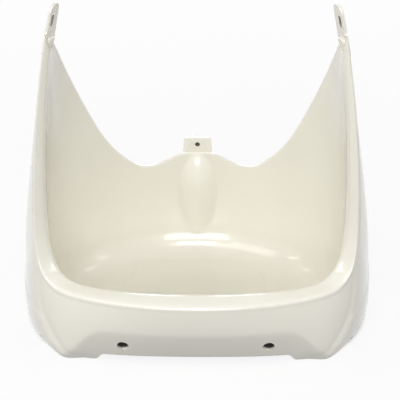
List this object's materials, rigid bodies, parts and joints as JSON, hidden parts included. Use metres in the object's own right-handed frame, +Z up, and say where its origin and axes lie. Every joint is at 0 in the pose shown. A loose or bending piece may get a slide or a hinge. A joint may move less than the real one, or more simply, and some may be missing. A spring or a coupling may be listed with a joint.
{
  "type": "scooter front panel",
  "caption": "Moulded front panel of a scooter: a rolled lip round a deep bowl, a skirt with screw wells, a middle tab and tall arms with slotted tongues.",
  "frame": {"origin": "middle of the bottom of the panel's bounding box, on the ground that its skirt stands on", "axes": "+Z up, -Y towards the front lip, +X towards the panel's side that is on the right of the picture"},
  "size_m": [0.4074, 0.2216, 0.3842],
  "materials": {
    "front_panel": "smooth gloss ivory, moulded in one colour"
  },
  "bodies": {
    "root": {"front_panel": "front_panel"}
  },
  "joints": []
}
